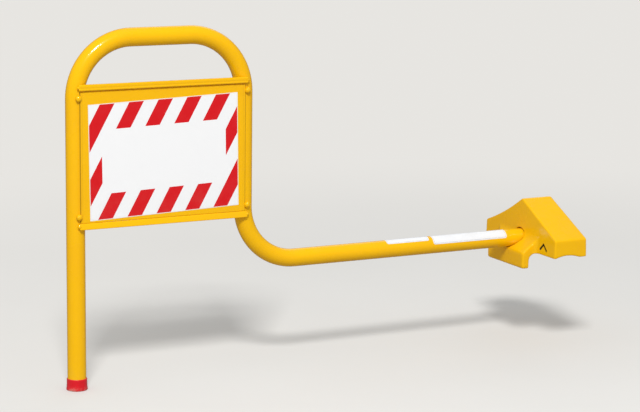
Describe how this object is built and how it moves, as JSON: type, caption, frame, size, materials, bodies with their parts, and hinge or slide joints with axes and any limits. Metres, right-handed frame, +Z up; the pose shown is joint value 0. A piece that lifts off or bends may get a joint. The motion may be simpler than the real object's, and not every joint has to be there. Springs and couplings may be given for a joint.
{
  "type": "rail car chock",
  "caption": "Rail car wheel chock: yellow cast wedge that sits on a rail head, with a bent tube carrying handle and a striped warning panel beside the track.",
  "frame": {"origin": "on the casting's flat rail seat, near the middle of its block and on the arm's line", "axes": "+X along the arm from the warning panel towards the rail, +Y along the rail towards the wheel, +Z up"},
  "size_m": [0.7727, 0.1928, 0.4897],
  "materials": {
    "yellow_paint": "gloss safety yellow enamel over steel tube",
    "yellow_casting": "gloss safety yellow enamel over cast metal",
    "yellow_sheet": "gloss safety yellow enamel over flat sheet",
    "striped_film": "printed vinyl film, red and white stripes",
    "white_film": "bare white vinyl label",
    "red_rubber": "red vinyl rubber"
  },
  "bodies": {
    "root": {"frame_tube": "yellow_paint", "chock_casting": "yellow_casting", "sign_plate": "yellow_sheet", "top_rail": "yellow_paint", "bottom_rail": "yellow_paint", "plate_tacks": "yellow_paint", "rail_nibs": "yellow_paint", "sign_decal": "striped_film", "short_label": "white_film", "long_label": "white_film", "foot_cap": "red_rubber"}
  },
  "joints": []
}
